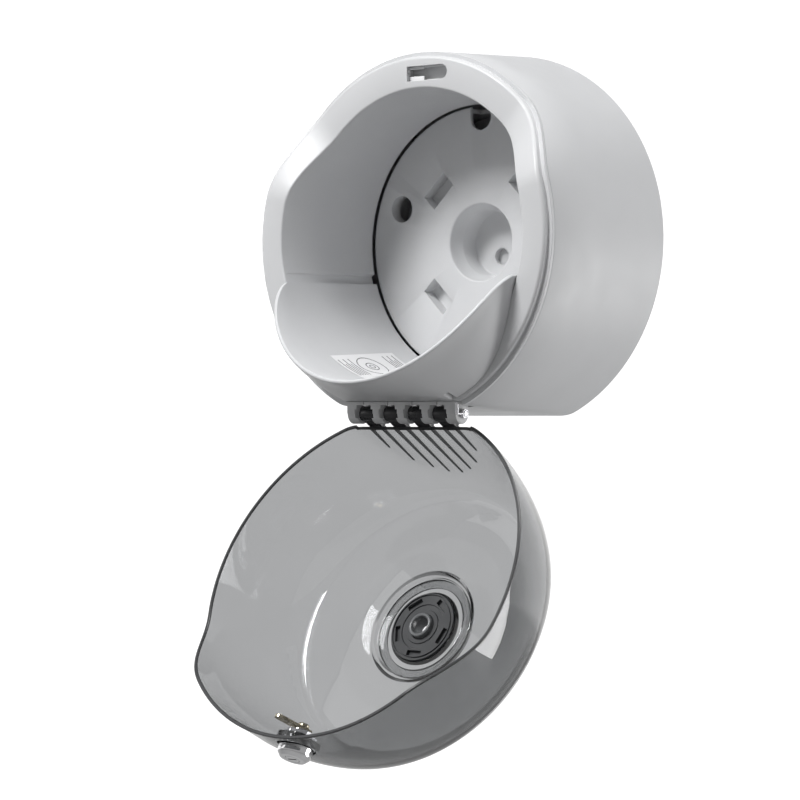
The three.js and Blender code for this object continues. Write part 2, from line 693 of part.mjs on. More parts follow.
// ---------- nozzle, in the closed cover's front ----------
const NOZZLE_FACE = COVER_DEPTH + DISH_RISE;
const DISC_RADIUS = 25.6;
const DISC_FLANGE_RADIUS = 30.5;
const TUBE_RADIUS = 9.1;
const TUBE_BORE = 6.4;

function nozzleDisc() {
  const inside = COVER_DEPTH - 0.5;
  const disc = revolve(
    [
      [TUBE_RADIUS + GAP, inside],
      [DISC_RADIUS, inside],
      [DISC_RADIUS, NOZZLE_FACE + GAP],
      [DISC_FLANGE_RADIUS, NOZZLE_FACE + GAP],
      [DISC_FLANGE_RADIUS - 0.8, NOZZLE_FACE + 2.3],
      [TUBE_RADIUS + GAP, NOZZLE_FACE + 2.3],
      [TUBE_RADIUS + GAP, inside],
    ],
    48,
  );
  const slotCount = 5;
  const slots = Array.from({ length: slotCount }, (_, i) => {
    const geometry = new THREE.BoxGeometry(11, 2.2, 3.2).translate(0, 0, 20.5);
    return solid(geometry.rotateY(radians((i * 360) / slotCount)).translate(0, -inside - 0.8, 0));
  });
  return disc.subtract(union(slots));
}

function nozzleTube() {
  return revolve(
    [
      [TUBE_BORE, 195.8],
      [TUBE_RADIUS, 195.8],
      [TUBE_RADIUS, NOZZLE_FACE + 2.8],
      [TUBE_RADIUS + 2.6, NOZZLE_FACE + 2.8],
      [TUBE_RADIUS + 2, NOZZLE_FACE + 4.4],
      [TUBE_BORE + 1, NOZZLE_FACE + 4.4],
      [TUBE_BORE, NOZZLE_FACE + 3.4],
      [TUBE_BORE, 195.8],
    ],
    32,
  );
}

function nozzleRetainer() {
  const inner = DISC_FLANGE_RADIUS + 0.5;
  return revolve(
    [
      [inner, NOZZLE_FACE + GAP],
      [DISH_RADIUS - 0.5, NOZZLE_FACE + GAP],
      [DISH_RADIUS - 1.5, NOZZLE_FACE + 2.8],
      [inner + 0.8, NOZZLE_FACE + 2.8],
      [inner, NOZZLE_FACE + 2],
      [inner, NOZZLE_FACE + GAP],
    ],
    48,
  );
}

// ---------- lock, in the closed cover's top ----------
const lockY = -LOCK_DEPTH;
const HEAD_TOP = LOCK_SEAT + 11;
const BARREL_END = 115.4;
const CAM_TOP = BARREL_END - 0.6;
const CAM_THICKNESS = 2;

function lockHousing() {
  const seat = LOCK_SEAT + GAP;
  const bore = PLUG_RADIUS + 0.15;
  return turned(
    [
      [bore, BARREL_END],
      [BARREL_RADIUS, BARREL_END],
      [BARREL_RADIUS, seat],
      [LOCK_FLANGE_RADIUS, seat],
      [LOCK_FLANGE_RADIUS, seat + 1],
      [LOCK_FLANGE_RADIUS - 0.9, seat + 1.4],
      [LOCK_FLANGE_RADIUS - 0.9, HEAD_TOP - 2.8],
      [9.4, HEAD_TOP],
      [bore, HEAD_TOP],
      [bore, BARREL_END],
    ],
    0,
    lockY,
    36,
  );
}

function lockNut() {
  const top = LOCK_SEAT - COVER_WALL - 1.5 - GAP;
  const bottom = top - 3.2;
  const hole = BARREL_RADIUS + 0.2;
  const inside = turned([[0, 90], [hole, 90], [hole, 150], [0, 150]], 0, lockY);
  const nut = new THREE.CylinderGeometry(11.4, 11.4, top - bottom, 6).rotateX(Math.PI / 2);
  return solid(nut.translate(0, lockY, (top + bottom) / 2)).subtract(inside);
}

function lockPlug() {
  const plug = turned(
    [
      [0, CAM_TOP + GAP],
      [PLUG_RADIUS, CAM_TOP + GAP],
      [PLUG_RADIUS, HEAD_TOP - 0.6],
      [PLUG_RADIUS - 0.6, HEAD_TOP],
      [0, HEAD_TOP],
    ],
    0,
    lockY,
  );
  const keyway = box(-3.5, 3.5, lockY - 0.7, lockY + 0.7, HEAD_TOP - 6, HEAD_TOP + 5);
  const screwHole = turned([[0, 100], [2, 100], [2, CAM_TOP + 7], [0, CAM_TOP + 7]], 0, lockY, 16);
  return plug.subtract(keyway).subtract(screwHole);
}

function lockCam() {
  const half = 3.7;
  const length = 23;
  const back = 5.5;
  const shape = new THREE.Shape();
  shape.moveTo(-half, -back);
  shape.lineTo(half, -back);
  shape.lineTo(half, length - half);
  shape.absarc(0, length - half, half, 0, Math.PI, false);
  shape.lineTo(-half, -back);
  const plate = planPrism(shape, CAM_TOP - CAM_THICKNESS, CAM_TOP);
  const hole = turned([[0, 100], [2.3, 100], [2.3, 130], [0, 130]], 0, 0, 20);
  const placed = plate.subtract(hole).rotate([0, 0, CAM_REST_ANGLE]);
  return placed.translate([0, lockY, 0]);
}

function camScrew() {
  const under = CAM_TOP - CAM_THICKNESS - GAP;
  return turned(
    [
      [0, under - 2.4],
      [3.4, under - 2.4],
      [4.2, under - 1.4],
      [4.2, under],
      [1.7, under],
      [1.7, CAM_TOP + 6],
      [0, CAM_TOP + 6],
    ],
    0,
    lockY,
    24,
  );
}

// ---------- assembly ----------
const group = new THREE.Group();

const base = new THREE.Group();
base.add(meshOf(drumHousing(), "drum_housing", greyPlastic));
base.add(meshOf(mountingPlate(), "mounting_plate", innerPlastic));
base.add(meshOf(frontFrame(), "front_frame", greyPlastic));
base.add(meshOf(rollTray(), "roll_tray", greyPlastic));
base.add(meshOf(strikePlate(), "strike_plate", paper));
base.add(meshOf(hingeBlock(), "hinge_block", greyPlastic));
base.add(meshOf(hingePin(), "hinge_pin", steel));
base.add(meshOf(hingeClip(), "hinge_clip", chrome));
base.add(meshOf(instructionLabel(), "instruction_label", paper));
screwPlaces.forEach((place, i) => base.add(meshOf(plateScrew(place), `plate_screw_${i + 1}`, steel)));
group.add(base);

// The cover's group turns about the hinge line, from closed to hanging open.
const cover = new THREE.Group();
cover.position.set(0, -HINGE_DEPTH, -HINGE_DROP);
cover.rotation.x = radians(OPEN_ANGLE);
const closed = new THREE.Group();
closed.position.set(0, HINGE_DEPTH, HINGE_DROP);
cover.add(closed);
closed.add(meshOf(coverShell(), "cover_shell", smokePlastic));
knuckleCentres.forEach((x, i) => closed.add(meshOf(hingeKnuckle(x, i), `hinge_knuckle_${i + 1}`, darkPlastic)));
closed.add(meshOf(nozzleRetainer(), "nozzle_retainer", darkPlastic));
closed.add(meshOf(nozzleDisc(), "nozzle_disc", nozzlePlastic));
closed.add(meshOf(nozzleTube(), "nozzle_tube", nozzlePlastic));
closed.add(meshOf(lockHousing(), "lock_housing", chrome));
closed.add(meshOf(lockNut(), "lock_nut", chrome));
closed.add(meshOf(lockPlug(), "lock_plug", chrome));
closed.add(meshOf(lockCam(), "lock_cam", nickel));
closed.add(meshOf(camScrew(), "cam_screw", nickel));
group.add(cover);

export default group;
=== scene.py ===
"""Looks of the centre-pull tissue dispenser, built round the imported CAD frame."""

import json
import math

import bmesh
import bpy
from mathutils import Matrix, Vector


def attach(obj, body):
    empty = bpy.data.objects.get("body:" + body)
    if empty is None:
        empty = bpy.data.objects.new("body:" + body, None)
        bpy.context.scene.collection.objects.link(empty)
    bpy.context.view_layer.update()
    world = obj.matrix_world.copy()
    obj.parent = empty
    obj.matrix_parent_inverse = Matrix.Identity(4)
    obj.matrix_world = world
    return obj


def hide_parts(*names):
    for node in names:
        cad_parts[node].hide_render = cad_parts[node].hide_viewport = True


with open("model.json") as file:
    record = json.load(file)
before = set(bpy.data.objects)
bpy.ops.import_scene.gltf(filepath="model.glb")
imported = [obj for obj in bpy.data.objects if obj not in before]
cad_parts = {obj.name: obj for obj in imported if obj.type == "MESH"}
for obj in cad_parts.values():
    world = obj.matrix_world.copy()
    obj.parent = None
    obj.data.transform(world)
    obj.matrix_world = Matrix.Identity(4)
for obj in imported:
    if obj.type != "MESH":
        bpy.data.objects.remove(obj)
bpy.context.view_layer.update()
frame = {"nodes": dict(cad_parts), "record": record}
MM = 0.001

# ---------- sizes, in millimetres, mostly the CAD model's own ----------
GAP = 0.3
DRUM_RADIUS = 133.35
DRAFT = 0.053
FLAT_DROP = 122.4
CORNER_SOFT = 3.0
WALL = 3.0
FRONT_DEPTH = 126.0
TOP_RECESS = 22.4
WAVE_FROM = 43.5
WAVE_TO = 75.2
SHOULDER = 4.5
SPIGOT_INSET = 2.9
FLANGE = 2.5
LINER_BACK_DEPTH = 35.0
LINER_BACK_RADIUS = 97.0
LINER_FRONT_RADIUS = 105.0
LINER_EDGE_ANGLE = 102.0
TRAY_HALF_ANGLE = 73.5
TRAY_REACH = 55.0
TRAY_BACK_RADIUS = 96.5
TRAY_MID_RADIUS = 101.5
TRAY_LIP_RADIUS = 98.5
COVER_WALL = 2.4
COVER_DEPTH = 200.0
COVER_ROUND = 30.0
COVER_CROWN = 1.77
COVER_START = 121.5
EDGE_BAND = 1.3
FACE_ROUND = 2.4
LINER_ROUND = 1.4
LINER_STEP = 0.6
SLOT_LEFT = -10.0
SLOT_RIGHT = 25.0
SLOT_HEIGHT = 113.0
SLOT_HALF = 5.2
PANEL_EDGE_RADIUS = 99.0
FIXING_RADIUS = 3.2
PLATE_FRONT = 33.0
PLATE_RADIUS = 95.0
PLATE_EDGE_RADIUS = 116.0
SIDE_HOLE_X = 71.0
SIDE_HOLE_Z = 26.0
KEYHOLE_Z = 88.0
WELL_HOLE_Z = -9.0
POCKET_RADIUS = 53.0
NOTCH_DEPTH = 124.8
NOZZLE_HOLE_RADIUS = 26.0
DISH_RADIUS = 38.3
DISH_RISE = 3.4
LOCK_SEAT = 124.2
LOCK_PAD_RADIUS = 13.1
LOCK_FLANGE_RADIUS = 12.6
BARREL_RADIUS = 8.0
PLUG_RADIUS = 4.9
BLOCK_HALF_WIDTH = 47.3
BLOCK_TOP = -112.6
BLOCK_BACK_DEPTH = 108.5
BLOCK_FRONT_DEPTH = 123.0
CLIP_ROOM = 4.5
CLIP_GROOVE_TOP = -102.0
PIN_RADIUS = 2.0
KNUCKLE_PITCH = 21.4
KNUCKLE_MIDDLE = -0.6
KNUCKLE_WIDTH = 11.6
NOZZLE_FACE = COVER_DEPTH + DISH_RISE
DISC_INSIDE = COVER_DEPTH - 0.5
DISC_RADIUS = 25.6
DISC_FLANGE_RADIUS = 30.5
TUBE_RADIUS = 9.1
TUBE_BORE = 6.4
LABEL_HALF_ANGLE = 37.0
LABEL_BACK_DEPTH = 60.0
LABEL_LIFT = 0.65
LABEL_RINGS_AT = (-48, 97)
ROOM_BELOW_HINGE = 20.0
BEVEL_ANGLE = 50.0
CREASE = 40.0

# The hinge line and the cover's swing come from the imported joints.
joints = {joint["name"]: joint for joint in frame["record"]["behaviour"]["joints"]}
hinge_pos = joints["cover_hinge"]["pos_m"]
HINGE_DEPTH = -hinge_pos[1] / MM
HINGE_DROP = -hinge_pos[2] / MM
SWING = -joints["cover_hinge"]["range_deg"][0]
LOCK_DEPTH = 117.5

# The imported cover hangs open. This matrix takes a closed-cover point there.
to_hinge = Matrix.Translation((0, -HINGE_DEPTH, -HINGE_DROP))
OPEN = to_hinge @ Matrix.Rotation(math.radians(SWING), 4, "X") @ to_hinge.inverted()
CLOSED = Matrix.Identity(4)


# ---------- shape formulas ----------
def smooth(t):
    """Eases 0 to 1, flat at both ends."""
    t = min(max(t, 0.0), 1.0)
    return t * t * (3 - 2 * t)


def mix(a, b, t):
    return a + (b - a) * t


def face_depth(angle):
    """Depth of the frame's wavy front face at an angle from the top, in degrees."""
    t = (abs(angle) - WAVE_FROM) / (WAVE_TO - WAVE_FROM)
    return FRONT_DEPTH - TOP_RECESS * (1 - smooth(t))


def outline(angle, round_radius, flat_drop):
    """Radius of the drum's outline, softened where the round meets the flat underside."""
    down = -math.cos(math.radians(angle))
    if down < 0.2:
        return round_radius
    flat = flat_drop / down
    blend = min(max(0.5 + 0.5 * (flat - round_radius) / CORNER_SOFT, 0.0), 1.0)
    return mix(flat, round_radius, blend) - CORNER_SOFT * blend * (1 - blend)


def drum_outline(angle, depth, inset=0.0):
    """Radius of the drum's wall at a depth, inset from its outer surface."""
    return outline(angle, DRUM_RADIUS - DRAFT * depth - inset, FLAT_DROP - DRAFT * depth - inset)


def polar(radius, depth, angle):
    """A point at a radius and depth, at an angle clockwise from the top, in degrees."""
    a = math.radians(angle)
    return (radius * math.sin(a), -depth, radius * math.cos(a))


def arc(centre, radius, start, end, count):
    """Points of [r, d] on an arc, angles in degrees, measured from +r towards +d."""
    steps = (math.radians(mix(start, end, i / count)) for i in range(count + 1))
    return [(centre[0] + radius * math.cos(a), centre[1] + radius * math.sin(a)) for a in steps]


def fine_angles(extra=()):
    """Angles round the drum, closer together near the wave and the flat's corners."""
    angles = {float(a) for a in range(-40, 41, 2)}
    for side in (-1, 1):
        angles |= {side * (40 + 1.5 * i) for i in range(1, 28)}
        angles |= {side * (82 + 2.5 * i) for i in range(1, 25)}
        angles |= {side * (142 + 1.0 * i) for i in range(1, 38)}
    angles |= set(extra)
    angles.add(180.0)
    return sorted(angles)


# ---------- mesh helpers ----------
def piece(name, verts, faces):
    """A new mesh object from millimetre points, welded and faced outwards."""
    mesh = bpy.data.meshes.new(name)
    mesh.from_pydata([Vector(v) for v in verts], [], faces)
    obj = bpy.data.objects.new(name, mesh)
    bpy.context.collection.objects.link(obj)
    work = bmesh.new()
    work.from_mesh(mesh)
    bmesh.ops.remove_doubles(work, verts=work.verts, dist=1e-4)
    bmesh.ops.recalc_face_normals(work, faces=work.faces)
    if work.calc_volume(signed=True) < 0:
        bmesh.ops.reverse_faces(work, faces=work.faces)
    work.to_mesh(mesh)
    work.free()
    return obj


def settle(obj, place=CLOSED, crease=30.0):
    """Scales a millimetre piece to metres, puts it in place and sets its shading."""
    mesh = obj.data
    mesh.transform(to_metres(place) @ Matrix.Scale(MM, 4))
    work = bmesh.new()
    work.from_mesh(mesh)
    if work.calc_volume(signed=True) < 0:
        bmesh.ops.reverse_faces(work, faces=work.faces)
        work.to_mesh(mesh)
    work.free()
    mesh.shade_smooth()
    mesh.set_sharp_from_angle(angle=math.radians(crease))
    mesh.update()
    return obj


def to_metres(place):
    """The same matrix with its translation in metres."""
    out = place.copy()
    out.translation = place.translation * MM
    return out


def loft(name, loops, closed=True):
    """Skins loops of 3-D points, one per section. closed joins the last one to the first."""
    count = len(loops[0])
    verts = [point for loop in loops for point in loop]
    faces = []
    spans = len(loops) if closed else len(loops) - 1
    for i in range(spans):
        here = i * count
        there = ((i + 1) % len(loops)) * count
        for j in range(count):
            k = (j + 1) % count
            faces.append((here + j, there + j, there + k, here + k))
    if not closed:
        faces.append(tuple(range(count)))
        last = (len(loops) - 1) * count
        faces.append(tuple(last + j for j in range(count)))
    return piece(name, verts, faces)


def lathe(name, profile, steps=96, axis="Y", centre=(0.0, 0.0)):
    """Revolves a closed profile, of [radius, depth] about Y or [radius, height] about Z."""
    across, along = centre
    loops = []
    for i in range(steps):
        s, c = math.sin(math.tau * i / steps), math.cos(math.tau * i / steps)
        if axis == "Y":
            loops.append([(r * s + across, -d, r * c + along) for r, d in profile])
        else:
            loops.append([(r * c + across, r * s + along, h) for r, h in profile])
    return loft(name, loops)


def block(name, x0, x1, y0, y1, z0, z1):
    verts = [(x, y, z) for x in (x0, x1) for y in (y0, y1) for z in (z0, z1)]
    faces = [(0, 1, 3, 2), (4, 6, 7, 5), (0, 4, 5, 1), (2, 3, 7, 6), (0, 2, 6, 4), (1, 5, 7, 3)]
    return piece(name, verts, faces)


def bar(name, radius, start, end, steps=48):
    """A round bar between two points."""
    a, b = Vector(start), Vector(end)
    turn = (b - a).to_track_quat("Z", "Y").to_matrix()
    verts = []
    for point in (a, b):
        for i in range(steps):
            t = math.tau * i / steps
            verts.append(point + turn @ Vector((radius * math.cos(t), radius * math.sin(t), 0)))
    faces = [(i, (i + 1) % steps, steps + (i + 1) % steps, steps + i) for i in range(steps)]
    faces.append(tuple(range(steps)))
    faces.append(tuple(range(steps, 2 * steps)))
    return piece(name, verts, faces)


def prism(name, points, origin, u, v, depth):
    """Extrudes a flat outline of (a, b) points, a along u and b along v, by the vector depth."""
    o, u, v, depth = Vector(origin), Vector(u), Vector(v), Vector(depth)
    base = [o + u * a + v * b for a, b in points]
    verts = base + [p + depth for p in base]
    n = len(points)
    faces = [(i, (i + 1) % n, n + (i + 1) % n, n + i) for i in range(n)]
    faces.append(tuple(range(n)))
    faces.append(tuple(range(n, 2 * n)))
    return piece(name, verts, faces)


def baked(obj):
    """Applies the object's modifiers to its mesh."""
    graph = bpy.context.evaluated_depsgraph_get()
    mesh = bpy.data.meshes.new_from_object(obj.evaluated_get(graph))
    obj.modifiers.clear()
    old = obj.data
    obj.data = mesh
    bpy.data.meshes.remove(old)
    return obj


def combine(obj, others, operation):
    """Runs one boolean after another on obj, and removes the others."""
    for other in others:
        step = obj.modifiers.new("boolean", "BOOLEAN")
        step.operation = operation
        step.solver = "MANIFOLD"
        step.object = other
    baked(obj)
    for other in others:
        bpy.data.objects.remove(other)
    return obj


def cut(obj, *cutters):
    return combine(obj, cutters, "DIFFERENCE")


def join(obj, *others):
    return combine(obj, others, "UNION")


def bevel(obj, width):
    step = obj.modifiers.new("bevel", "BEVEL")
    step.width = width
    step.segments = 2
    step.limit_method = "ANGLE"
    step.angle_limit = math.radians(BEVEL_ANGLE)
    step.use_clamp_overlap = True
    return baked(obj)


# ---------- materials ----------
GRAIN_DEPTH = 0.0001


def material(name):
    made = bpy.data.materials.new(name)
    made.use_nodes = True
    return made, made.node_tree, made.node_tree.nodes["Principled BSDF"]


def noise(tree, scale, detail=3.0):
    coords = tree.nodes.new("ShaderNodeTexCoord")
    tex = tree.nodes.new("ShaderNodeTexNoise")
    tex.inputs["Scale"].default_value = scale
    tex.inputs["Detail"].default_value = detail
    tex.inputs["Roughness"].default_value = 0.5
    tree.links.new(coords.outputs["Object"], tex.inputs["Vector"])
    return tex.outputs["Fac"]


def ramp(tree, fac, low, high, start=0.3, end=0.7):
    """Maps a value from start..end to a number or a colour between low and high."""
    colour = not isinstance(low, float)
    node = tree.nodes.new("ShaderNodeValToRGB" if colour else "ShaderNodeMapRange")
    if colour:
        node.color_ramp.elements[0].position = start
        node.color_ramp.elements[1].position = end
        node.color_ramp.elements[0].color = (*low, 1)
        node.color_ramp.elements[1].color = (*high, 1)
        tree.links.new(fac, node.inputs["Fac"])
        return node.outputs["Color"]
    node.inputs["From Min"].default_value = start
    node.inputs["From Max"].default_value = end
    node.inputs["To Min"].default_value = low
    node.inputs["To Max"].default_value = high
    tree.links.new(fac, node.inputs["Value"])
    return node.outputs["Result"]


def bump(tree, shader, height, strength, distance):
    node = tree.nodes.new("ShaderNodeBump")
    node.inputs["Strength"].default_value = strength
    node.inputs["Distance"].default_value = distance
    tree.links.new(height, node.inputs["Height"])
    tree.links.new(node.outputs["Normal"], shader.inputs["Normal"])


def mottle(tree, shader, colour, dark, colour_scale, gloss_scale, rough, rougher, details=(3.0, 4.0)):
    """Varies a shader's colour and roughness with noise."""
    shade = tuple(c * dark for c in colour)
    blotches = noise(tree, colour_scale, details[0])
    tree.links.new(ramp(tree, blotches, shade, colour), shader.inputs["Base Color"])
    haze = noise(tree, gloss_scale, details[1])
    tree.links.new(ramp(tree, haze, rough, rougher), shader.inputs["Roughness"])


def moulded(name, colour, rough, grain=1400.0, strength=0.12):
    """Moulded plastic: a fine grain, faint flow mottling and uneven gloss."""
    made, tree, shader = material(name)
    mottle(tree, shader, colour, 0.965, 22.0, 60.0, rough - 0.05, rough + 0.05)
    bump(tree, shader, noise(tree, grain, 2.0), strength, GRAIN_DEPTH)
    shader.inputs["IOR"].default_value = 1.5
    shader.inputs["Specular IOR Level"].default_value = 0.5
    return made


def metal(name, colour, rough):
    """Plated metal: bright, with faint polishing marks and haze."""
    made, tree, shader = material(name)
    shader.inputs["Metallic"].default_value = 1.0
    mottle(tree, shader, colour, 0.9, 90.0, 160.0, rough, rough * 1.8, (5.0, 4.0))
    bump(tree, shader, noise(tree, 300.0), 0.05, GRAIN_DEPTH)
    return made


def smoked(name, colour, rough):
    """Clear tinted plastic with faint haze."""
    made, tree, shader = material(name)
    mottle(tree, shader, colour, 0.97, 14.0, 45.0, rough, rough * 2.5, (3.0, 5.0))
    shader.inputs["Transmission Weight"].default_value = 1.0
    shader.inputs["IOR"].default_value = 1.49
    return made


drum_plastic = moulded("drum_plastic", (0.60, 0.605, 0.615), 0.42)
plate_plastic = moulded("plate_plastic", (0.62, 0.625, 0.635), 0.5, grain=900.0, strength=0.2)
block_plastic = moulded("block_plastic", (0.58, 0.585, 0.59), 0.4)
dark_plastic = moulded("dark_plastic", (0.018, 0.018, 0.02), 0.3, grain=700.0)
nozzle_plastic = moulded("nozzle_plastic", (0.05, 0.052, 0.055), 0.33, grain=700.0)
tube_plastic = moulded("tube_plastic", (0.16, 0.165, 0.17), 0.28, grain=700.0)
smoke_plastic = smoked("smoke_plastic", (0.36, 0.365, 0.37), 0.006)
ring_plastic = smoked("ring_plastic", (0.6, 0.605, 0.61), 0.006)
# Near-black material for painted shade: the shadow in the seam where the cover's rim meets the frame, and
# in the hinge notch.
painted_seam_shade = moulded("painted_seam_shade", (0.05, 0.051, 0.053), 0.3)
label_film = moulded("label_film", (0.82, 0.82, 0.83), 0.35, grain=500.0, strength=0.05)
label_ink = moulded("label_ink", (0.16, 0.16, 0.17), 0.5, grain=500.0, strength=0.05)
chrome = metal("lock_chrome", (0.86, 0.86, 0.87), 0.05)
zinc = metal("zinc_plate", (0.72, 0.72, 0.74), 0.16)
nickel = metal("cam_nickel", (0.70, 0.64, 0.50), 0.18)


def finish_piece(obj, body, slot, mat, *nodes):
    """Gives a piece its material and body, and hides the CAD nodes it stands for. The slot argument is
    not used.
    """
    obj.data.materials.clear()
    obj.data.materials.append(mat)
    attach(obj, body)
    if nodes:
        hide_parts(*nodes)
    return obj


def block_room():
    """The space that the hinge block needs, cut out of its neighbours."""
    left, right = -BLOCK_HALF_WIDTH - GAP, BLOCK_HALF_WIDTH + CLIP_ROOM
    front, back = -BLOCK_FRONT_DEPTH - 24, -BLOCK_BACK_DEPTH + GAP
    bottom, top = -HINGE_DROP - ROOM_BELOW_HINGE, BLOCK_TOP + GAP
    return block("block_room", left, right, front, back, bottom, top)


# ---------- base: drum housing ----------
def drum_housing():
    """The tapered drum with its flat underside and closed back panel."""
    loops = []
    for angle in fine_angles():
        front = face_depth(angle) - SHOULDER - FLANGE - GAP
        profile = [(0.0, 0.8), (0.0, front * 0.33), (0.0, front * 0.67), (0.0, front - 0.5)]
        profile += [(0.15, front - 0.15), (0.5, front), (WALL, front), (WALL, front * 0.5), (WALL, WALL)]
        loop = [polar(drum_outline(angle, d, inset), d, angle) for inset, d in profile]
        panel = [(PANEL_EDGE_RADIUS, WALL), (0.0, WALL), (0.0, 0.0), (PANEL_EDGE_RADIUS, 0.0)]
        loop += [polar(r, d, angle) for r, d in panel]
        loop += [polar(drum_outline(angle, 0.0, 0.8), 0.0, angle)]
        loops.append(loop)
    holes = []
    for i, (x, z) in enumerate(((0, KEYHOLE_Z), (SIDE_HOLE_X, SIDE_HOLE_Z), (-SIDE_HOLE_X, SIDE_HOLE_Z))):
        holes.append(bar(f"fixing_{i}", FIXING_RADIUS, (x, 5, z), (x, -WALL - 5, z)))
    obj = cut(loft("drum_shell", loops), block_room(), *holes)
    return finish_piece(settle(obj), "base", "drum_plastic", drum_plastic, "drum_housing")


# ---------- base: front frame ----------
def tray_radius(depth):
    """Radius of the tray's inside surface at a depth."""
    if depth < FRONT_DEPTH:
        t = (depth - LINER_BACK_DEPTH) / (FRONT_DEPTH - LINER_BACK_DEPTH)
        return mix(TRAY_BACK_RADIUS, TRAY_MID_RADIUS, t)
    return mix(TRAY_MID_RADIUS, TRAY_LIP_RADIUS, (depth - FRONT_DEPTH) / TRAY_REACH)


def liner_radius(depth, angle):
    """Radius of the liner's inside, which steps out below to hold the tray."""
    t = (depth - LINER_BACK_DEPTH) / (FRONT_DEPTH - LINER_BACK_DEPTH)
    plain = mix(LINER_BACK_RADIUS, LINER_FRONT_RADIUS, t)
    outer = tray_radius(min(depth, FRONT_DEPTH - 0.01)) + WALL + GAP
    return mix(plain, outer, smooth((abs(angle) - LINER_EDGE_ANGLE) / LINER_STEP))


def front_frame():
    """The wavy front face with its lip, shoulder, liner and strike slot."""
    edges = [LINER_EDGE_ANGLE + step for step in (0, 0.15, 0.3, 0.45, 0.6)]
    loops = []
    for angle in fine_angles(edges + [-a for a in edges]):
        face = face_depth(angle)
        shoulder = face - SHOULDER
        liner = liner_radius(face, angle)
        loop = []
        for r, d in arc((liner + LINER_ROUND, face - LINER_ROUND), LINER_ROUND, 180, 90, 4):
            loop.append(polar(r, d, angle))
        mid = (liner + drum_outline(angle, face, SPIGOT_INSET)) / 2
        loop.append(polar(mid, face, angle))
        for inset, behind in arc((FACE_ROUND, FACE_ROUND), FACE_ROUND, 270, 180, 5):
            loop.append(polar(drum_outline(angle, face, SPIGOT_INSET + inset), face - behind, angle))
        loop.append(polar(drum_outline(angle, shoulder, SPIGOT_INSET), shoulder, angle))
        loop.append(polar(drum_outline(angle, shoulder, 0.3), shoulder, angle))
        loop.append(polar(drum_outline(angle, shoulder - 0.3), shoulder - 0.3, angle))
        loop.append(polar(drum_outline(angle, shoulder - FLANGE), shoulder - FLANGE, angle))
        inside = SPIGOT_INSET + FLANGE
        loop.append(polar(drum_outline(angle, shoulder, inside), shoulder - FLANGE, angle))
        loop.append(polar(drum_outline(angle, face, inside), face - WALL, angle))
        loop.append(polar(liner + WALL, face - WALL, angle))
        for t in (0.66, 0.33, 0.0):
            depth = mix(LINER_BACK_DEPTH, face - WALL, t)
            loop.append(polar(liner_radius(depth, angle) + WALL, depth, angle))
        for t in (0.0, 0.33, 0.66):
            depth = mix(LINER_BACK_DEPTH, face - LINER_ROUND, t)
            loop.append(polar(liner_radius(depth, angle), depth, angle))
        loops.append(loop)
    obj = loft("frame_ring", loops)
    front, rear = -face_depth(0) - 5, -face_depth(0) + 8
    end = SLOT_RIGHT - SLOT_HALF
    low, high = SLOT_HEIGHT - SLOT_HALF, SLOT_HEIGHT + SLOT_HALF
    slot_cutter = join(
        block("slot_cutter", SLOT_LEFT, end, front, rear, low, high),
        bar("slot_end", SLOT_HALF, (end, front, SLOT_HEIGHT), (end, rear, SLOT_HEIGHT)),
    )
    obj = cut(obj, slot_cutter, block_room())
    return finish_piece(settle(obj), "base", "drum_plastic", drum_plastic, "front_frame")


# ---------- base: roll tray ----------
def lip_depth(from_bottom):
    """Depth of the tray's curved lip at an angle from the bottom."""
    t = abs(from_bottom) / TRAY_HALF_ANGLE
    return FRONT_DEPTH + 1 + TRAY_REACH * max(1 - t**1.6, 0.0) ** 0.6


def chin_radius(from_bottom):
    """Radius of the chin's outside, swollen in the middle and flat below."""
    swell = 17 * smooth((TRAY_HALF_ANGLE - abs(from_bottom)) / 41)
    flat = (-BLOCK_TOP - GAP) / math.cos(math.radians(from_bottom))
    return min(TRAY_MID_RADIUS + WALL + swell, flat)


def roll_tray():
    """The trough with its beaded lip and rounded chin."""
    seat = FRONT_DEPTH + GAP
    loops = []
    count = 120
    for i in range(count + 1):
        from_bottom = TRAY_HALF_ANGLE * math.sin((i / count * 2 - 1) * math.pi / 2)
        angle = 180 + from_bottom
        lip = lip_depth(from_bottom)
        inside = tray_radius(lip)
        bead = min(1.5, (lip - seat) / 2)
        chin = chin_radius(from_bottom)
        profile = [(TRAY_BACK_RADIUS, LINER_BACK_DEPTH + GAP)]
        profile += [(tray_radius(d), d) for d in (70.0, 100.0, FRONT_DEPTH)]
        for depth in (mix(FRONT_DEPTH, lip - bead, 0.5), mix(FRONT_DEPTH, lip - bead, 1)):
            profile.append((tray_radius(depth), depth))
        for s in range(1, 8):
            a = math.radians(180 * s / 8)
            profile.append((inside + bead - bead * math.cos(a), lip - bead + bead * math.sin(a)))
        profile.append((inside + WALL, lip - bead))
        for t in (0.25, 0.5, 0.75):
            bulge = 1.4 * math.sin(math.pi * t) * min(1.0, (chin - inside - WALL) / 6)
            profile.append((mix(inside + WALL, chin, t) + max(bulge, 0), mix(lip - bead, seat, t)))
        profile += [(chin, seat), (TRAY_MID_RADIUS + WALL - 0.02, seat)]
        profile += [(TRAY_BACK_RADIUS + WALL, LINER_BACK_DEPTH + GAP)]
        loops.append([polar(r, d, angle) for r, d in profile])
    groove_left = BLOCK_HALF_WIDTH + GAP
    groove_right = groove_left + 3.7
    groove = block("clip_groove", groove_left, groove_right, -136, -126.1, -150, CLIP_GROOVE_TOP)
    obj = cut(loft("tray_shell", loops, closed=False), block_room(), groove)
    return finish_piece(settle(obj), "base", "drum_plastic", drum_plastic, "roll_tray")


# ---------- base: mounting plate ----------
def turned_box(name, radius, angle, length, width, depth0, depth1):
    """A box at a radius and angle round the drum's axis, its long side along the circle."""
    obj = block(name, -length / 2, length / 2, -depth1, -depth0, radius - width / 2, radius + width / 2)
    obj.data.transform(Matrix.Rotation(math.radians(angle), 4, "Y"))
    return obj


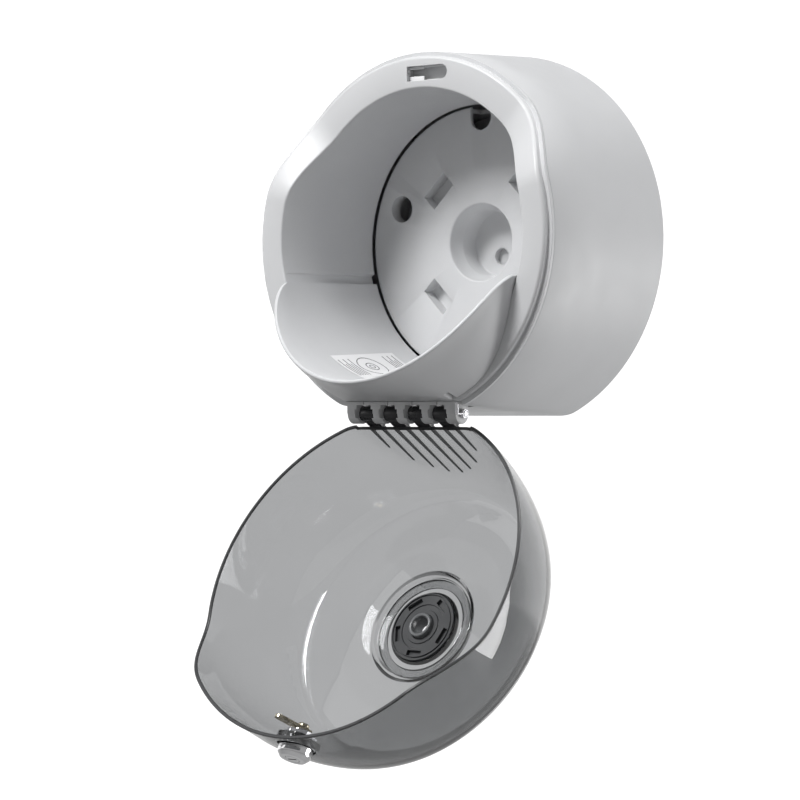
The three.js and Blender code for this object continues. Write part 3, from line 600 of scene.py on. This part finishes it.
def mounting_plate():
    """The raised disc with its well, side holes, keyhole and pockets."""
    base = WALL + GAP
    back = PLATE_FRONT - WALL
    skirt = PLATE_RADIUS - WALL
    profile = [(0.0, base), (26.3, base), (26.3, 22.4), (30.1, back), (skirt, back), (skirt, base)]
    profile += [(PLATE_EDGE_RADIUS, base), (PLATE_EDGE_RADIUS, base + WALL), (PLATE_RADIUS, base + WALL)]
    profile += [(PLATE_RADIUS, PLATE_FRONT - 3.0), (PLATE_RADIUS + 1.2, PLATE_FRONT - 2.4)]
    profile += arc((95.2, PLATE_FRONT - 1.0), 1.0, 0, 90, 4)
    profile += arc((28.6, PLATE_FRONT - 1.5), 1.5, 90, 180, 4)
    profile += [(23.6, 23.0), (23.3, 22.4), (23.3, 9.0)]
    profile += arc((22.3, 9.0), 1.0, 0, -90, 3)[1:]
    profile += [(0.0, 8.0)]
    obj = lathe("plate_dish", profile, steps=144)
    collars, holes = [], []
    for i, x in enumerate((-SIDE_HOLE_X, SIDE_HOLE_X)):
        z = SIDE_HOLE_Z
        collars.append(bar(f"collar_{i}", 11.5, (x, -23, z), (x, -back - 1, z)))
        holes.append(bar(f"hole_{i}", 9.5, (x, 0, z), (x, -40, z)))
    holes.append(bar("keyhole", 9.0, (0, -20, KEYHOLE_Z), (0, -40, KEYHOLE_Z)))
    holes.append(block("keyhole_neck", -8.9, 8.9, -40, -20.5, KEYHOLE_Z + 1, 120))
    holes.append(bar("screw_hole", 6.0, (0, 0, WELL_HOLE_Z), (0, -14, WELL_HOLE_Z)))
    for i, angle in enumerate((45, 135, 225, 315)):
        collars.append(turned_box(f"pocket_shell_{i}", POCKET_RADIUS, angle, 28, 17, 21, back + 1))
        holes.append(turned_box(f"pocket_{i}", POCKET_RADIUS, angle, 24, 13, 23, 40))
    holes.append(block("below_flat", -150, 150, -50, 20, -150, -118.6))
    join(obj, *collars)
    for hole in holes:
        cut(obj, hole)
    bevel(obj, 0.5)
    settle(obj, crease=CREASE)
    return finish_piece(obj, "base", "plate_plastic", plate_plastic, "mounting_plate")


# ---------- base: strike plate ----------
def strike_plate():
    """The light tab in the slot, with the cam's window, and a shallow backing behind it."""
    left, right = SLOT_LEFT - 4, SLOT_RIGHT + 4
    front = face_depth(0) - WALL - GAP
    obj = block("strike_tab", left, right, -front, -front + 1.5, 107.4, 118.2)
    cut(obj, block("opening", 2.5, 24.5, -front - 1, -front + 3, 108.6, 117.4))
    cut(obj, block("cam_window", -10.4, 3.0, -front - 1, -front + 3, 111.4, 116.2))
    bevel(obj, 0.25)
    finish_piece(settle(obj, crease=CREASE), "base", "label", label_film, "strike_plate")
    rear = front - 1.7
    backing = block("slot_backing", left, right, -rear, -rear + 6.4, 106.8, 119.2)
    cut(backing, block("pocket", left + 1.4, right - 1.4, -rear - 1, -rear + 5.2, 107.9, 118.1))
    bevel(backing, 0.25)
    finish_piece(settle(backing, crease=CREASE), "base", "drum_plastic", drum_plastic)


# ---------- base: hinge block ----------
knuckle_centres = [KNUCKLE_MIDDLE + (i - 1.5) * KNUCKLE_PITCH for i in range(4)]


def side_prism(name, side, x0, x1):
    """Extrudes a side outline of [depth, height] points from x0 to x1."""
    return prism(name, side, (x0, 0, 0), (0, -1, 0), (0, 0, 1), (x1 - x0, 0, 0))


def hinge_bar(name, radius, x0, x1):
    """A round bar on the hinge line."""
    return bar(name, radius, (x0, -HINGE_DEPTH, -HINGE_DROP), (x1, -HINGE_DEPTH, -HINGE_DROP), 40)


def hinge_block():
    """The block with a slot for each knuckle, bored for the pin."""
    x = BLOCK_HALF_WIDTH
    side = [(BLOCK_BACK_DEPTH, BLOCK_TOP), (BLOCK_FRONT_DEPTH, BLOCK_TOP)]
    side.append((BLOCK_FRONT_DEPTH, -HINGE_DROP))
    side += arc((HINGE_DEPTH, -HINGE_DROP), 7.0, 0, -180, 20)
    side.append((BLOCK_BACK_DEPTH, -HINGE_DROP))
    obj = side_prism("block_shell", side, -x, x)
    top = BLOCK_TOP - 2.4
    cutters = [hinge_bar("pin_bore", PIN_RADIUS + 0.1, -x + 2, x + 5)]
    half = (KNUCKLE_WIDTH + 1) / 2
    bottom = -HINGE_DROP - ROOM_BELOW_HINGE
    low, high = -HINGE_DROP - 3, -HINGE_DROP + 3
    front = -BLOCK_FRONT_DEPTH
    for i, middle in enumerate(knuckle_centres):
        cutters.append(block(f"slot_{i}", middle - half, middle + half, -160, -80, bottom, top))
        cutters.append(block(f"rebate_{i}", middle - 8, middle + 8, -160, -HINGE_DEPTH - 3, low, high))
        tick = (middle - 0.5, middle + 0.5, front - 5, front + 1, top - 1, BLOCK_TOP + 1)
        cutters.append(block(f"tick_{i}", *tick))
    for cutter in cutters:
        cut(obj, cutter)
    bevel(obj, 0.35)
    finish_piece(settle(obj, crease=CREASE), "base", "drum_plastic", block_plastic, "hinge_block")


def hinge_knuckles():
    """Four knuckles on the pin, each with an arm and two fins that run out under the cover."""
    end = NOTCH_DEPTH + 2.5
    fin_ends = [151, 168, 177, 183, 184, 179, 170, 154]

    def under(depth):
        return -(FLAT_DROP - DRAFT * depth) - GAP

    for i, middle in enumerate(knuckle_centres):
        half = KNUCKLE_WIDTH / 2
        arm_outline = [(HINGE_DEPTH + 3, -HINGE_DROP - 4), (end, under(end) - 3.4)]
        arm_outline += [(end, under(end)), (HINGE_DEPTH + 3, -HINGE_DROP + 4.2)]
        parts = [side_prism(f"arm_{i}", arm_outline, middle - half, middle + half)]
        for side in (0, 1):
            tip = fin_ends[2 * i + side]
            centre = middle + (2 * side - 1) * (half - 0.67)
            root = end - 6
            fin = [(root, under(root) - 2.5), (tip - 1, under(tip) - 0.7), (tip, under(tip) - 0.4)]
            fin += [(tip, under(tip) - 0.02), (root, under(root) - 0.02)]
            parts.append(side_prism(f"fin_{i}_{side}", fin, centre - 0.62, centre + 0.62))
        obj = hinge_bar(f"knuckle_{i + 1}", 5.2, middle - half + 0.02, middle + half - 0.02)
        for part in parts:
            join(obj, part)
        cut(obj, hinge_bar("bore", PIN_RADIUS + 0.1, middle - half - 1, middle + half + 1))
        bevel(obj, 0.25)
        node = f"hinge_knuckle_{i + 1}"
        finish_piece(settle(obj, OPEN, CREASE), "cover", "dark_plastic", dark_plastic, node)


# ---------- base: label ----------
def on_tray(along, depth, lift):
    """A point on the tray's floor, along the curve from its middle, lifted off the tray."""
    radius = tray_radius(depth)
    return polar(radius - LABEL_LIFT - lift, depth, 180 - math.degrees(along / radius))


def print_band(name, points, width, shut=False):
    """A printed line through flat points of [along, depth], a hair above the label."""
    loops = []
    count = len(points)
    for i, (a, d) in enumerate(points):
        before = points[i - 1] if shut or i else points[0]
        after = points[(i + 1) % count] if shut or i < count - 1 else points[-1]
        run = Vector((after[0] - before[0], after[1] - before[1])).normalized()
        side = Vector((-run.y, run.x)) * width / 2
        corners = ((side, 0.02), (-side, 0.02), (-side, 0.08), (side, 0.08))
        loops.append([on_tray(a + s.x, d + s.y, lift) for s, lift in corners])
    return loft(name, loops, closed=shut)


def label():
    """The white film in the tray, printed with a roll of rings and plain bars."""
    count = 48
    front = FRONT_DEPTH - 1
    loops = []
    for i in range(count + 1):
        angle = 180 + LABEL_HALF_ANGLE * (2 * i / count - 1)
        loop = [polar(tray_radius(d) - 0.35, d, angle) for d in (LABEL_BACK_DEPTH, front)]
        loop += [polar(tray_radius(d) - LABEL_LIFT, d, angle) for d in (front, LABEL_BACK_DEPTH)]
        loops.append(loop)
    film = loft("label_sheet", loops, closed=False)
    finish_piece(settle(film), "base", "label", label_film, "instruction_label")
    printed = []
    turns = [math.tau * i / 40 for i in range(40)]
    along, depth = LABEL_RINGS_AT
    for i, (size, width) in enumerate(((12.0, 0.8), (5.0, 0.8), (2.2, 0.7))):
        circle = [(along + size * math.cos(t), depth + size * math.sin(t)) for t in turns]
        printed.append(print_band(f"print_ring_{i}", circle, width, True))
    for side in (-1, 1):
        for group, first in enumerate((64, 112)):
            for row in range(5):
                length = 18 if row % 2 else 24
                line = [(side * (36 + length * t / 6), first + 2.6 * row) for t in range(7)]
                printed.append(print_band(f"print_bar_{side}_{group}_{row}", line, 0.8))
    for obj in printed:
        finish_piece(settle(obj), "base", "label", label_ink)


# ---------- cover ----------
def rim_depth(angle):
    """Depth of the closed cover's rim, which follows the frame's wave."""
    return face_depth(angle) - SHOULDER + 0.5


def cover_radius(angle, depth, inset):
    """Radius of the cover's wall at a depth, inset from its outer surface."""
    top = COVER_DEPTH - inset
    round_radius = DRUM_RADIUS - DRAFT * min(depth, COVER_START) - inset
    if depth > COVER_START:
        rise = min((depth - COVER_START) / (top - COVER_START), 1.0)
        lean = math.asin(rise ** (COVER_CROWN / 2))
        round_radius += COVER_ROUND * (math.cos(lean) ** (2 / COVER_CROWN) - 1)
    return outline(angle, round_radius, FLAT_DROP - DRAFT * depth - inset)


def crown_depths(inset):
    """Depths down the crowned shoulder, closer together towards the front."""
    top = COVER_DEPTH - inset
    count = 22
    leans = [math.pi / 2 * i / count for i in range(count + 1)]
    return [COVER_START + (top - COVER_START) * math.sin(a) ** (2 / COVER_CROWN) for a in leans]


def crown_from(start, inset):
    """The crowned shoulder's depths, kept beyond a starting depth."""
    return [max(d, start + 0.05 * (i + 1)) for i, d in enumerate(crown_depths(inset))]


def cover_shell():
    """The smoke-tinted bowl, with a dished nozzle seat and a seat for the lock; its rim band and the
    notch face carry painted shade.
    """
    inner_face = COVER_DEPTH - COVER_WALL
    floor = NOZZLE_FACE - COVER_WALL
    edge = DISH_RADIUS
    front = [(70.0, COVER_DEPTH), (edge + 5, COVER_DEPTH), (edge + 3.8, COVER_DEPTH + 0.4)]
    front += [(edge + 1.8, NOZZLE_FACE - 0.4), (edge + 1, NOZZLE_FACE)]
    front += [(NOZZLE_HOLE_RADIUS, NOZZLE_FACE), (NOZZLE_HOLE_RADIUS, floor)]
    front += [(edge - 1.4, floor), (edge - 0.9, floor - 0.4), (edge - 0.3, inner_face + 0.4)]
    front += [(edge, inner_face), (70.0, inner_face)]
    loops = []
    for angle in fine_angles():
        rim = rim_depth(angle)
        loop = [polar(cover_radius(angle, rim, 0.5), rim, angle)]
        loop += [polar(cover_radius(angle, rim + d, 0), rim + d, angle) for d in (0.5, EDGE_BAND)]
        mid = max((rim + COVER_START) / 2, rim + EDGE_BAND + 0.2)
        loop.append(polar(cover_radius(angle, mid, 0), mid, angle))
        loop += [polar(cover_radius(angle, d, 0), d, angle) for d in crown_from(mid, 0)]
        loop += [polar(r, d, angle) for r, d in front]
        for d in crown_from(mid, COVER_WALL)[::-1] + [mid]:
            loop.append(polar(cover_radius(angle, d, COVER_WALL), d, angle))
        for d in (EDGE_BAND, 0.5):
            loop.append(polar(cover_radius(angle, rim + d, COVER_WALL), rim + d, angle))
        loop.append(polar(cover_radius(angle, rim, COVER_WALL - 0.5), rim, angle))
        loops.append(loop)
    obj = loft("smoke_cover", loops)
    seat, pad = LOCK_SEAT, LOCK_PAD_RADIUS
    centre = (0.0, -LOCK_DEPTH)
    well = lathe("well", [(0, seat), (pad, seat), (pad + 2, 145), (0, 145)], 64, "Z", centre)
    under = seat - COVER_WALL - 1.5
    profile = [(0, under), (pad + 1.6, under), (pad + 1.6, seat + 1), (0, seat + 1)]
    boss = lathe("boss", profile, 64, "Z", centre)
    trim = block("trim", -40, 40, -170, -face_depth(0) - 0.6, 90, 150)
    boss = combine(boss, [trim], "INTERSECT")
    bore = BARREL_RADIUS + 0.4
    hole = lathe("hole", [(0, 90), (bore, 90), (bore, 150), (0, 150)], 64, "Z", centre)
    left, right = -BLOCK_HALF_WIDTH - 0.8, BLOCK_HALF_WIDTH + CLIP_ROOM + 0.5
    notch = block("notch", left, right, -NOTCH_DEPTH, -90, -HINGE_DROP - ROOM_BELOW_HINGE, -100)
    join(obj, boss)
    for cutter in (notch, well, hole):
        cut(obj, cutter)
    # Painted shade: faces along the rim band and on the notch face are marked for the near-black
    # material.
    painted_shade_faces = []
    for face in obj.data.polygons:
        x, y, z = face.center
        at_rim = -y < rim_depth(math.degrees(math.atan2(x, z))) + EDGE_BAND
        at_notch = abs(-y - NOTCH_DEPTH) < 0.05 and z < -100
        painted_shade_faces.append(at_rim or at_notch)
    finish_piece(settle(obj, OPEN, 32), "cover", "smoke_plastic", smoke_plastic, "cover_shell")
    # Second material on the cover, the painted shade for the rim and notch faces.
    obj.data.materials.append(painted_seam_shade)
    for face, is_painted_shade in zip(obj.data.polygons, painted_shade_faces):
        face.material_index = 1 if is_painted_shade else 0


# ---------- nozzle ----------
def nozzle():
    """The bayonet disc, the tissue tube and the clear ring round them."""
    inside, face = DISC_INSIDE, NOZZLE_FACE + GAP
    top = NOZZLE_FACE + 2.3
    bore = TUBE_RADIUS + GAP
    lip = DISC_FLANGE_RADIUS - 3.0
    profile = [(bore, inside + 0.3), (bore + 0.3, inside), (12.6, inside), (13.0, inside + 0.8)]
    profile += [(16.6, inside + 0.8), (17.0, inside), (22.9, inside), (23.1, inside + 1.0)]
    profile += [(24.3, inside + 1.0), (24.5, inside)]
    profile += [(DISC_RADIUS - 0.3, inside), (DISC_RADIUS, inside + 0.3), (DISC_RADIUS, face)]
    profile += [(lip, face), (lip, face + 0.4), (lip - 0.6, top - 0.2)]
    profile += [(lip - 1.0, top), (22.0, top), (21.6, top - 0.5), (14.0, top - 0.5), (13.6, top)]
    profile += [(bore, top)]
    disc = lathe("bayonet_disc", profile, 120)
    slots = []
    for i in range(5):
        slots.append(turned_box(f"bayonet_{i}", 20.0, 72 * i, 12, 4.0, inside - 2, inside + 2.6))
    cut(disc, *slots)
    finish_piece(settle(disc, OPEN), "nozzle", "nozzle_plastic", nozzle_plastic, "nozzle_disc")
    back, front = 195.8, NOZZLE_FACE + 4.4
    throat = 3.5
    profile = [(throat, 205.0), (TUBE_BORE, 200.0), (TUBE_BORE, back + 1.0)]
    profile += arc((TUBE_RADIUS - 1.35, back + 1.3), 1.3, 180, 360, 8)
    profile += [(TUBE_RADIUS, NOZZLE_FACE + 2.8), (TUBE_RADIUS + 2.6, NOZZLE_FACE + 2.8)]
    profile += [(TUBE_RADIUS + 2.5, NOZZLE_FACE + 3.4), (TUBE_RADIUS + 2.0, front - 0.2)]
    profile += [(TUBE_RADIUS + 1.7, front), (TUBE_BORE + 1.2, front)]
    profile += [(TUBE_BORE + 0.5, front - 0.4), (throat + 0.6, front - 1.4)]
    tube = lathe("tissue_tube", profile, 96)
    finish_piece(settle(tube, OPEN), "nozzle", "nozzle_plastic", tube_plastic, "nozzle_tube")
    inner = DISC_FLANGE_RADIUS + 0.5
    outer = DISH_RADIUS - 0.5
    profile = [(inner, face), (outer, face), (outer, face + 0.4), (outer - 0.7, face + 2.1)]
    profile += [(outer - 1.2, face + 2.5), (inner + 1.2, face + 2.5)]
    profile += [(inner + 0.4, face + 2.2), (inner, face + 1.5)]
    ring = lathe("retainer_ring", profile, 120)
    finish_piece(settle(ring, OPEN), "cover", "dark_plastic", ring_plastic, "nozzle_retainer")


# ---------- lock ----------
HEAD_TOP = LOCK_SEAT + 11
BARREL_END = 115.4
PLUG_END = 115.1


def lock_parts():
    """The lock's head with its barrel, and the plug that turns in it."""
    centre = (0.0, -LOCK_DEPTH)
    bore = PLUG_RADIUS + 0.15
    seat = LOCK_SEAT + GAP
    profile = [(bore, BARREL_END), (BARREL_RADIUS - 0.4, BARREL_END), (BARREL_RADIUS, BARREL_END + 0.4)]
    rim = LOCK_FLANGE_RADIUS
    profile += [(BARREL_RADIUS, seat), (rim - 0.3, seat), (rim, seat + 0.3), (rim, seat + 0.8)]
    profile += [(rim - 0.3, seat + 1.1), (rim - 0.7, seat + 1.2), (rim - 0.9, seat + 1.5)]
    profile += [(rim - 1.1, HEAD_TOP - 4.4)]
    profile += arc((rim - 3.9, HEAD_TOP - 4.0), 2.8, 0, 60, 5)
    profile += [(9.2, HEAD_TOP - 0.4), (8.7, HEAD_TOP), (6.4, HEAD_TOP)]
    profile += [(6.1, HEAD_TOP - 0.3), (bore, HEAD_TOP - 0.3)]
    head = lathe("lock_head", profile, 96, "Z", centre)
    finish_piece(settle(head, OPEN), "cover", "lock_chrome", chrome, "lock_housing")
    profile = [(0, PLUG_END), (PLUG_RADIUS, PLUG_END), (PLUG_RADIUS, HEAD_TOP - 0.5)]
    profile += [(PLUG_RADIUS - 0.5, HEAD_TOP), (0, HEAD_TOP)]
    plug = lathe("key_plug", profile, 64, "Z", centre)
    near, far = -LOCK_DEPTH - 0.7, -LOCK_DEPTH + 0.7
    keyway = block("keyway", -3.6, 3.6, near, far, HEAD_TOP - 6, HEAD_TOP + 5)
    bottom, top = PLUG_END - 15.1, PLUG_END + 6.7
    profile = [(0, bottom), (2, bottom), (2, top), (0, top)]
    screw_hole = lathe("screw_hole", profile, 32, "Z", centre)
    plug = cut(plug, keyway, screw_hole)
    finish_piece(settle(plug, OPEN), "lock", "lock_chrome", chrome, "lock_plug")


# ---------- build ----------
drum_housing()
front_frame()
roll_tray()
mounting_plate()
strike_plate()
hinge_block()
hinge_knuckles()
label()
cover_shell()
nozzle()
lock_parts()

CAD_LOOKS = {
    "hinge_pin": zinc,
    "hinge_clip": zinc,
    "lock_nut": zinc,
    "lock_cam": nickel,
    "cam_screw": nickel,
}
for i in range(1, 5):
    CAD_LOOKS[f"plate_screw_{i}"] = zinc
for node, mat in CAD_LOOKS.items():
    obj = frame["nodes"][node]
    obj.data.materials.clear()
    obj.data.materials.append(mat)
    weld = obj.modifiers.new("weld", "WELD")
    weld.merge_threshold = 0.02 * MM
    edge = obj.modifiers.new("edge", "BEVEL")
    edge.width = 0.2 * MM
    edge.segments = 2
    edge.limit_method = "ANGLE"
    edge.angle_limit = math.radians(CREASE)


# ---------- camera, floor and light ----------
AZIMUTH, ELEVATION = math.radians(38.8), math.radians(-0.3)
DISTANCE, LENS = 2.2, 141.894
SENSOR_WIDTH = 36
SIDEWAYS, UPWARD = 0.0398, 0.1113
level = math.cos(ELEVATION)
back = Vector((math.sin(AZIMUTH) * level, -math.cos(AZIMUTH) * level, math.sin(ELEVATION)))
right = Vector((math.cos(AZIMUTH), math.sin(AZIMUTH), 0))
up = back.cross(right)
camera_data = bpy.data.cameras.new("camera")
camera_data.sensor_width = SENSOR_WIDTH
camera_data.lens = LENS
camera_data.clip_end = 50
camera = bpy.data.objects.new("camera", camera_data)
bpy.context.collection.objects.link(camera)
spot = Vector((0, -0.06, 0)) + back * DISTANCE - right * SIDEWAYS - up * UPWARD
turn = Matrix((right, up, back)).transposed()
camera.matrix_world = Matrix.Translation(spot) @ turn.to_4x4()
bpy.context.scene.camera = camera


# Strength of the backdrop's glow on the floor and on the side towards the camera; the glow lights the
# dispenser.
FLOOR_GLOW = 0.4
NEAR_GLOW = 0.24


def backdrop():
    """A pale floor under the dispenser that curves up all round, far away. It glows and lights the
    dispenser: full strength on the side away from the camera, dimmer towards the camera and on the floor.
    """
    profile = [(0.0, -1.5), (4.0, -1.5), (5.0, -1.45), (5.8, -1.3)]
    profile += [(6.15, -0.9), (6.3, -0.2), (6.3, 2.0)]
    steps = 64
    verts = [
        (r * math.sin(math.tau * i / steps), r * math.cos(math.tau * i / steps), z)
        for i in range(steps)
        for r, z in profile
    ]
    count = len(profile)
    faces = []
    for i in range(steps):
        here, there = i * count, ((i + 1) % steps) * count
        faces += [(here + j, there + j, there + j + 1, here + j + 1) for j in range(count - 1)]
    obj = piece("backdrop", verts, faces)
    obj.data.shade_smooth()
    made, tree, shader = material("glowing_backdrop")
    shader.inputs["Base Color"].default_value = (0.3, 0.3, 0.3, 1)
    shader.inputs["Roughness"].default_value = 1.0
    shader.inputs["Emission Color"].default_value = (1, 1, 1, 1)
    coords = tree.nodes.new("ShaderNodeTexCoord")
    split = tree.nodes.new("ShaderNodeSeparateXYZ")
    tree.links.new(coords.outputs["Object"], split.inputs["Vector"])
    # The glow is dimmer on the floor and on the side towards the camera, so less light reaches the
    # dispenser's front.
    glow = ramp(tree, split.outputs["Z"], FLOOR_GLOW, 1.0, -1.45, -1.3)
    ahead = tree.nodes.new("ShaderNodeVectorMath")
    ahead.operation = "DOT_PRODUCT"
    ahead.inputs[1].default_value = -back
    tree.links.new(coords.outputs["Object"], ahead.inputs[0])
    far_side = ramp(tree, ahead.outputs["Value"], NEAR_GLOW, 1.0, 0.5, 3.5)
    both = tree.nodes.new("ShaderNodeMath")
    both.operation = "MULTIPLY"
    tree.links.new(glow, both.inputs[0])
    tree.links.new(far_side, both.inputs[1])
    tree.links.new(both.outputs["Value"], shader.inputs["Emission Strength"])
    obj.data.materials.append(made)


def area(name, place, aim, size, power, height=None):
    """A soft rectangular light at a place, turned towards its aim."""
    data = bpy.data.lights.new(name, "AREA")
    data.energy = power
    data.shape = "RECTANGLE"
    data.size = size
    data.size_y = height or size
    obj = bpy.data.objects.new(name, data)
    bpy.context.collection.objects.link(obj)
    obj.location = place
    obj.rotation_euler = (Vector(aim) - Vector(place)).to_track_quat("-Z", "Y").to_euler()


backdrop()
area("key_softbox", (-0.5, -1.75, 1.72), (0, -0.1, 0), 0.8, 62)
area("top_softbox", (0.9, 0.0, 2.2), (0, -0.05, 0), 1.2, 34)
area("right_softbox", (1.7, 1.3, -0.9), (0, -0.06, 0), 1.0, 30, height=1.6)
area("left_softbox", (-2.0, -1.6, 0.8), (0, -0.1, -0.1), 0.9, 4, height=1.6)
world = bpy.data.worlds.new("world")
world.use_nodes = True
world.node_tree.nodes["Background"].inputs["Color"].default_value = (0.75, 0.76, 0.78, 1)
world.node_tree.nodes["Background"].inputs["Strength"].default_value = 0.15
bpy.context.scene.world = world
bpy.context.scene.view_settings.view_transform = "Standard"
